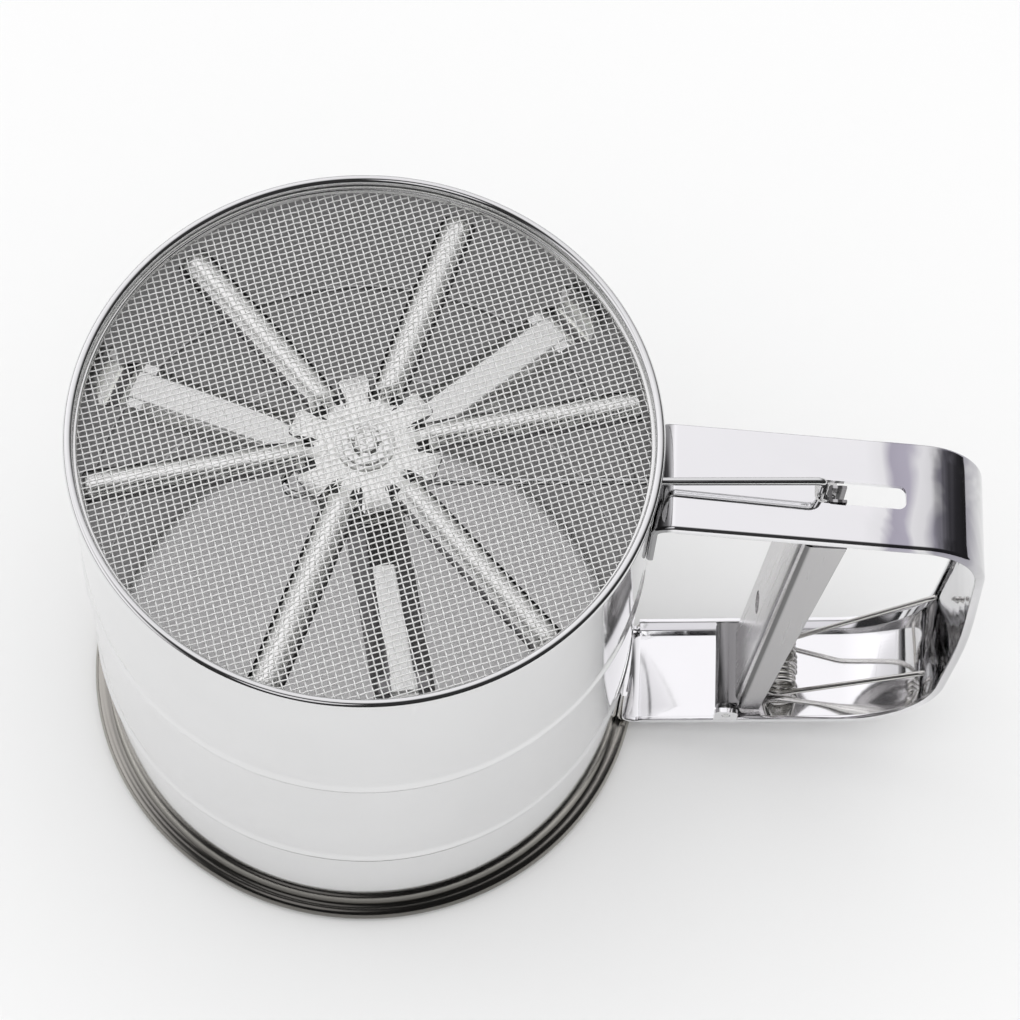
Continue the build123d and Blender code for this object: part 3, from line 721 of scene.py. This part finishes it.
# ------------------------------------------------------------------ pull wire
WIRE_Z, WIRE_DROP, PULL_R, EYE_R = 89.4, 5.0, 0.7, 2.65
NECK_X, NECK_Y = 80.1, -1.15
lug_spot = LUG_R * np.array([math.cos(math.radians(LUG_TURN)), math.sin(math.radians(LUG_TURN))])
eye = np.array([*(lug_spot - [0.66, 0.53]), WIRE_Z])
in_window = np.array([51.0, -2.3, WIRE_Z])
outward = (in_window - eye) / np.linalg.norm(in_window - eye)
first = math.degrees(math.atan2(outward[1], outward[0]))
loop = [eye + EYE_R * np.array([math.cos(a), math.sin(a), 0]) for a in
        np.radians(np.linspace(first + 348, first + 16, 40))]
leave = eye + outward * EYE_R + np.array([0.1, -0.05, 0])
to_neck = np.array([NECK_X, NECK_Y, WIRE_Z]) - in_window
neck_gap = np.linalg.norm(to_neck)
to_neck /= neck_gap
hook = in_window + to_neck * (neck_gap - 2.6)
drop = np.array([0, 0, WIRE_DROP])
outside = [hook + [0, 0, 1.3], hook - drop, in_window + to_neck * neck_gap - drop]
run = rounded_path([loop[-1], leave, in_window, *outside], [0.5, 2.0, 1.3, 1.1], line_step=1.5, arc_degrees=6)
pull_tube = tube(np.vstack([loop[:-1], run]), PULL_R, 20)
wire = add_mesh("pull_wire_visual", *pull_tube, pull_steel, "spring_wire", 60)
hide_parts("pull_wire")
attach(wire, "pull_wire_link")


# ------------------------------------------------------------------ handle
def top_leg_z(x):
    return 87.3 - 0.061 * (x - 53.0)


def low_leg_z(x):
    return 3.3 + 0.156 * (x - 53.0)


def near_edge(z):
    """How far the strip reaches to -Y at this height; it widens slightly downwards."""
    return 10.7 - (z - 3.3) * 0.5 / 84.0


def far_edge(z):
    """How far the strip reaches to +Y at this height; it narrows slightly downwards."""
    return 9.4 + (z - 3.3) * 0.8 / 84.0


FOOT_X = CUP_R + 0.05
PIVOT_X, PIVOT_Z = 69.2, 9.5
STRIP, FOLD, FOOT_FOLD, DEEP_FOLD = 0.9, 1.7, 1.26, 4.6
SLOT_START, SLOT_END, SLOT_Y, SLOT_HALF = 76.3, 92.1, -0.65, 2.2
EAR_HALF, EAR_ROUND = 2.2, 1.2
loop_corners = [
    (FOOT_X, 0, top_leg_z(FOOT_X) - 12.5), (FOOT_X, 0, top_leg_z(FOOT_X)), (106.6, 0, top_leg_z(106.6)),
    (109.0, 0, 48.0), (107.2, 0, low_leg_z(107.2)), (FOOT_X, 0, low_leg_z(FOOT_X)),
    (FOOT_X, 0, low_leg_z(FOOT_X) + 13.5),
]
loop_bends = [3.0, 13.0, 150.0, 20.0, 3.0]
band_path = rounded_path(loop_corners, loop_bends, line_step=0.9, arc_degrees=2.5)
band_tan = tangents_of(band_path)
rings = []
low_side = np.arange(len(band_path)) > np.argmax(band_path[:, 0])
for p, t, low in zip(band_path, band_tan, low_side):
    x, z = p[0], p[2]
    near_depth = far_depth = FOLD
    if low:
        # the far fold of the lower leg is deep
        far_depth += (DEEP_FOLD - FOLD) * smooth_step((26.0 - z) / 14.0)
    # both folds flatten towards the feet
    near_cup = smooth_step((53.2 - x) / 1.4)
    near_depth += (FOOT_FOLD - near_depth) * near_cup
    far_depth += (FOOT_FOLD - far_depth) * near_cup
    section = channel(
        near_edge(z), far_edge(z), near_depth, far_depth, STRIP, outer=0.75, inner=0.15, edge=0.17
    )
    normal = np.array([-t[2], 0, t[0]])
    ring = p[None, :] + section[:, 1:2] * normal[None, :]
    ring[:, 1] = section[:, 0]
    # the feet lie against the round wall
    follow = smooth_step((52.4 - x) / 2.4)
    ring[:, 0] -= follow * (FOOT_X - np.sqrt(FOOT_X**2 - ring[:, 1] ** 2))
    rings.append(ring)
handle = add_mesh("handle_band_visual", *loft(rings), handle_steel, "polished_steel", CRISP)
slot_shape = rounded_box(SLOT_START, SLOT_END, SLOT_Y - SLOT_HALF, SLOT_Y + SLOT_HALF, 1.4, 8)
pin_hole = arc(PIVOT_X, PIVOT_Z, 0.84, 0, 345, 24)
pin_drill = prism(pin_hole, "y", -13, 13)
carve(handle, [prism(slot_shape, "z", 78, 92), pin_drill])
# a small raised ear on the near fold carries the pin
ear_y = -near_edge(PIVOT_Z)
ear_z = low_leg_z(PIVOT_X) + 0.45
ear_outline = [(PIVOT_X - EAR_HALF, ear_z)]
ear_outline += arc(PIVOT_X - EAR_HALF + EAR_ROUND, PIVOT_Z + 0.5, EAR_ROUND, 180, 90, 6)
ear_outline += arc(PIVOT_X + EAR_HALF - EAR_ROUND, PIVOT_Z + 0.5, EAR_ROUND, 90, 0, 6)
ear_outline += [(PIVOT_X + EAR_HALF, ear_z)]
pin_ear = prism(ear_outline, "y", ear_y + 0.02, ear_y + STRIP)
pin_ear = add_mesh("handle_ear_visual", *pin_ear, handle_steel, "polished_steel", CRISP)
carve(pin_ear, [pin_drill])
for piece in (handle, pin_ear):
    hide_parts("handle_band")
    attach(piece, "root")


# ------------------------------------------------------------------ trigger
TRIGGER_Y, TRIGGER_HALF, TRIGGER_SHEET = -0.4, 8.4, 0.9
TRIGGER_LOW, TRIGGER_TOP = 9.0, 80.5


def lever_section(z):
    """The web's place and the channel's section; web and fold tips both lean outwards going up."""
    up = (z - TRIGGER_LOW) / (TRIGGER_TOP - TRIGGER_LOW)
    web = 70.6 + 4.1 * up
    tips = 75.6 + 6.9 * up
    depth = tips - web
    return web, channel(
        TRIGGER_HALF, TRIGGER_HALF, depth, depth, TRIGGER_SHEET, outer=1.9, inner=1.0, edge=0.2
    )


def lever_rings():
    rings = []
    for z in np.linspace(TRIGGER_LOW, TRIGGER_TOP, 23):
        web, section = lever_section(z)
        rings.append([(web - n, y + TRIGGER_Y, z) for y, n in section])
    return rings


web_top, top_section = lever_section(TRIGGER_TOP)
cap = [(web_top - n, y + TRIGGER_Y) for y, n in top_section if n > -7.6 and (abs(y) > 7.6 or n > -0.5)]
cap = sorted(cap, key=lambda q: math.atan2(q[1] - TRIGGER_Y, web_top + 3.0 - q[0]))
cap = prism(cap, "z", TRIGGER_TOP - 0.8, TRIGGER_TOP)
# the neck is a narrow channel of its own, standing through the slot
neck_section = channel(1.6, 1.6, 3.1, 3.1, 0.55, outer=0.5, inner=0.05, edge=0.1, columns=5)
neck = loft([[(78.7 - n, y + NECK_Y, z) for y, n in neck_section] for z in (79.9, 82.0, 84.0, 86.0, 86.1)])
knuckle_verts, knuckle_faces = lathe(rounded_box(0.86, 2.1, -TRIGGER_HALF, TRIGGER_HALF, 0.15), 64)
knuckle_verts = np.column_stack(
    [knuckle_verts[:, 0] + PIVOT_X, knuckle_verts[:, 2] + TRIGGER_Y, knuckle_verts[:, 1] + PIVOT_Z]
)
tongue_outline = [
    (PIVOT_X, PIVOT_Z + 1.2), (71.5, PIVOT_Z + 1.3), (71.5, PIVOT_Z + 2.3), (70.9, PIVOT_Z + 2.15),
    (70.2, PIVOT_Z + 2.05), (PIVOT_X, PIVOT_Z + 2.09),
]
tongue_half = TRIGGER_HALF - 0.05
tongue = prism(tongue_outline, "y", TRIGGER_Y - tongue_half, TRIGGER_Y + tongue_half)
lever = add_mesh("trigger_visual", *loft(lever_rings()), brushed, "brushed_steel", CRISP)
web_hole = arc(1.2, 36.0, 2.2, 0, 345, 24)
bore = arc(PIVOT_X, PIVOT_Z, 0.87, 0, 345, 24)
carve(lever, [prism(web_hole, "x", 69, 75), prism(bore, "y", -13, 13)])
# painted shade: the neck and its cap take the dark neck steel
lever_top = add_mesh("trigger_neck_visual", *join(cap, neck), neck_shade_steel, "brushed_steel", CRISP)
wire_hole = arc(NECK_Y, WIRE_Z - WIRE_DROP, 1.05, 0, 345, 24)
carve(lever_top, [prism(wire_hole, "x", 77.5, 80.0)])
hinge = join((knuckle_verts, knuckle_faces), tongue)
hinge = add_mesh("trigger_knuckle_visual", *hinge, shadow_steel, "brushed_steel", CRISP)
for piece in (lever, lever_top, hinge):
    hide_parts("trigger")
    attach(piece, "trigger_lever")

PIN_NEAR, PIN_FAR, PIN_R = -10.6, 9.4, 0.8
pin_outline = [
    (0.02, PIN_NEAR), (PIN_R - 0.15, PIN_NEAR), (PIN_R, PIN_NEAR + 0.15),
    (PIN_R, PIN_FAR - 0.15), (PIN_R - 0.15, PIN_FAR), (0.02, PIN_FAR),
]
pin_verts, pin_faces = lathe(pin_outline, 32)
pin_verts = np.column_stack([pin_verts[:, 0] + PIVOT_X, pin_verts[:, 2], pin_verts[:, 1] + PIVOT_Z])
pin = add_mesh("trigger_pin_visual", pin_verts, pin_faces, satin, "satin_steel", 30)
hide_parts("trigger_pin")
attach(pin, "root")


# ------------------------------------------------------------------ return spring
SPRING_R = 0.5
COIL_X, COIL_Z, COIL_R, COIL_TURNS = 78.7, 12.7, 3.0, 5
COIL_START, LEG_Y = 1.0, 5.5
BRIDGE_X, BRIDGE_HALF, BRIDGE_Z = 73.6, 1.1, 36.0


def spring_half(side, end):
    """One half: down from the bridge on the web, round the coil, out along its leg to `end`."""
    run, rise = end[0] - COIL_X, end[1] - COIL_Z
    slope, lead = math.atan2(rise, run), math.asin(COIL_R / math.hypot(run, rise))
    last = math.degrees(slope) - 90 + 360 * COIL_TURNS + math.degrees(lead)
    angles = np.radians(np.linspace(181.8, last, 150))
    t = np.linspace(0, 1, len(angles))
    x, z = COIL_X + COIL_R * np.cos(angles), COIL_Z + COIL_R * np.sin(angles)
    coil = np.column_stack([x, side * (COIL_START + (LEG_Y - COIL_START) * t), z])
    down = rounded_path([(BRIDGE_X, side * BRIDGE_HALF, BRIDGE_Z), coil[0]], [])
    leg = rounded_path([coil[-1], (end[0], side * LEG_Y, end[1])], [])
    return np.vstack([down[:-1], coil, leg[1:]])


near, far = spring_half(-1, (105.2, 23.2)), spring_half(1, (105.9, 33.4))
# the bridge joins the two halves over the top
over = rounded_path([near[1], near[0] + [0, 0, 0.3], far[0] + [0, 0, 0.3], far[1]], [0.5, 0.5], 0.5, 10)
spring_path = np.vstack([near[:0:-1], over[1:-1], far[1:]])
spring = add_mesh("return_spring_visual", *tube(spring_path, SPRING_R, 14), spring_steel, "spring_wire", 60)
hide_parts("return_spring")
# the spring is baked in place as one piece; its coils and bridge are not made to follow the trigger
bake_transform(spring)

# ------------------------------------------------------------------ the clip stays as the CAD node
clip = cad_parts["retaining_clip"]
clip.data.materials.clear()
clip.data.materials.append(satin)
clip_bevel = clip.modifiers.new("soft edges", "BEVEL")
clip_bevel.width, clip_bevel.segments, clip_bevel.limit_method = 0.00008, 2, "ANGLE"

# ------------------------------------------------------------------ floor
floor_mat = bpy.data.materials.new("pale_table")
floor_mat.use_nodes = True
tree = floor_mat.node_tree
link = tree.links.new
bsdf = tree.nodes["Principled BSDF"]
bsdf.inputs["Roughness"].default_value = 0.6
bsdf.inputs["Specular IOR Level"].default_value = 0.15
place = node(tree, "ShaderNodeTexCoord")
cloud = node(tree, "ShaderNodeTexNoise", Scale=3.0, Detail=3.0)
link(place.outputs["Object"], cloud.inputs["Vector"])
link(map_range(tree, cloud.outputs["Fac"], 0.0, 1.0, 0.86, 0.89), bsdf.inputs["Base Color"])
# painted light: the floor inside the cup glows a little, standing in for light that reaches it through the
# cloth
from_middle = node(tree, "ShaderNodeVectorMath", operation="LENGTH")
link(place.outputs["Object"], from_middle.inputs[0])
painted_light_glow = map_range(tree, from_middle.outputs["Value"], 0.047, 0.0495, 0.2, 0.0, "SMOOTHSTEP")
link(painted_light_glow, bsdf.inputs["Emission Strength"])
bsdf.inputs["Emission Color"].default_value = (1.0, 0.97, 0.99, 1)
floor_mesh = bpy.data.meshes.new("table_top")
FLOOR_HALF = 6.0
corners = [(x * FLOOR_HALF, y * FLOOR_HALF, 0) for x, y in ((-1, -1), (1, -1), (1, 1), (-1, 1))]
floor_mesh.from_pydata(corners, [], [(0, 1, 2, 3)])
floor_mesh.materials.append(floor_mat)
floor = bpy.data.objects.new("table_top", floor_mesh)
floor.location.z = -0.00005
bpy.context.scene.collection.objects.link(floor)
floor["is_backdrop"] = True

# ------------------------------------------------------------------ studio surround
world = bpy.data.worlds.new("studio")
bpy.context.scene.world = world
world.use_nodes = True
tree = world.node_tree
link = tree.links.new
back = tree.nodes["Background"]
place = node(tree, "ShaderNodeTexCoord")
split = node(tree, "ShaderNodeSeparateXYZ")
link(place.outputs["Generated"], split.inputs[0])


def maths(kind, *terms):
    return math_node(tree, kind, *terms)


def band(source, at, width):
    """1 above `at`, 0 below, with a soft step of this width."""
    return map_range(tree, source, at - width / 2, at + width / 2, interpolation="SMOOTHSTEP")


sx, sy, sz = split.outputs["X"], split.outputs["Y"], split.outputs["Z"]
# the far side is a white sweep, the near side is the dark room behind the camera
to_back = maths("ADD", sy, maths("MULTIPLY", sz, 0.35))
sweep = band(to_back, 0.42, 0.5)
# a bright window low on the left
to_left = maths("ADD", maths("MULTIPLY", sx, -1.0), maths("MULTIPLY", sy, 0.25))
window_light = maths("MULTIPLY", band(to_left, 0.62, 0.25), band(sz, 0.12, 0.1))
# a small soft box beside the camera, to its left
box_x = maths("SUBTRACT", sx, -0.2)
box_y = maths("SUBTRACT", sy, -0.54)
box_gap = maths("ADD", maths("MULTIPLY", box_x, box_x), maths("MULTIPLY", box_y, box_y))
soft_box = maths("MULTIPLY", maths("SUBTRACT", 1.0, band(box_gap, 0.045, 0.03)), band(sz, 0.5, 0.1))
level = maths("MAXIMUM", sweep, maths("MULTIPLY", window_light, 0.85))
level = maths("MAXIMUM", level, maths("MULTIPLY", soft_box, 0.85))
# the right-hand side falls dark behind a ragged edge, and all of it fades below the horizon
ragged = node(tree, "ShaderNodeTexNoise", Scale=9.0, Detail=3.0)
link(place.outputs["Generated"], ragged.inputs["Vector"])
right_edge = maths("ADD", sx, maths("MULTIPLY_ADD", ragged.outputs["Fac"], 0.3, -0.15))
right_dark = band(right_edge, 0.6, 0.56)
level = maths("MULTIPLY", level, maths("SUBTRACT", 1.0, maths("MULTIPLY", right_dark, 0.97)))
level = maths("MULTIPLY", level, band(sz, 0.14, 0.2))
lean = maths("MULTIPLY_ADD", sx, -0.31, 0.96)
level = maths("MULTIPLY_ADD", level, lean, 0.035)
tone = node(tree, "ShaderNodeCombineColor")
link(level, tone.inputs[0])
link(maths("MULTIPLY", level, 0.99), tone.inputs[1])
link(maths("MULTIPLY", level, 1.01), tone.inputs[2])
link(tone.outputs[0], back.inputs["Color"])
back.inputs["Strength"].default_value = 1.0
# mirror rays that have met no dull surface see the studio, all other rays an even fill
seen = node(tree, "ShaderNodeLightPath")
pick = node(tree, "ShaderNodeMixShader")
plain = node(tree, "ShaderNodeBackground", Color=(1.0, 1.0, 1.0, 1))
overhead = maths("POWER", maths("MAXIMUM", sz, 0.0), 2.5)
fill = maths("MULTIPLY_ADD", overhead, 1.6, 0.36)
fill = maths("MULTIPLY", fill, maths("MULTIPLY_ADD", sy, 0.06, 1.04))
to_camera = seen.outputs["Is Camera Ray"]
fill = maths("MULTIPLY", fill, maths("SUBTRACT", 1.0, to_camera))
fill = maths("ADD", fill, maths("MULTIPLY", to_camera, 0.9))
link(fill, plain.inputs["Strength"])
undiffused = maths("LESS_THAN", seen.outputs["Diffuse Depth"], 0.5)
shallow = maths("LESS_THAN", seen.outputs["Ray Depth"], 3.5)
mirrored = maths("MULTIPLY", seen.outputs["Is Glossy Ray"], maths("MULTIPLY", undiffused, shallow))
link(mirrored, pick.inputs[0])
link(plain.outputs[0], pick.inputs[1])
link(back.outputs[0], pick.inputs[2])
link(pick.outputs[0], tree.nodes["World Output"].inputs["Surface"])
world.cycles.sampling_method = "NONE"
bpy.context.scene.view_settings.view_transform = "Standard"

# ------------------------------------------------------------------ one soft lamp for the shadow
key_data = bpy.data.lights.new("key", "AREA")
key_data.shape, key_data.size, key_data.energy = "DISK", 1.2, 4.0
key = bpy.data.objects.new("key", key_data)
bpy.context.scene.collection.objects.link(key)
key.location = (-2.2, 0.8, 2.8)
key.rotation_mode = "QUATERNION"
key.rotation_quaternion = (Vector((0, 0, 0.05)) - key.location).to_track_quat("-Z", "Y")
key.visible_glossy = False

# ------------------------------------------------------------------ camera, looking down on the sieve
cam = bpy.data.cameras.new("camera")
camera = bpy.data.objects.new("camera", cam)
bpy.context.scene.collection.objects.link(camera)
bpy.context.scene.camera = camera
cam.sensor_width = 36
cam.lens = 107.96
cam.clip_start = 0.01
tilt, roll, yaw = math.radians(63.49), math.radians(5.15), Matrix.Rotation(math.radians(-2.2), 3, "Z")
spot = yaw @ Vector((25.1, -236.4, 448.6)) + Vector((0, 0, CUP_H))
look = yaw @ Vector((0, math.cos(tilt), -math.sin(tilt)))
right = yaw @ Vector((1, 0, 0))
above = right.cross(look)
turn_right = math.cos(roll) * right + math.sin(roll) * above
turn_above = math.cos(roll) * above - math.sin(roll) * right
turn = Matrix((turn_right, turn_above, -look)).transposed()
camera.matrix_world = Matrix.Translation(spot * MM) @ turn.to_4x4()

low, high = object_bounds()
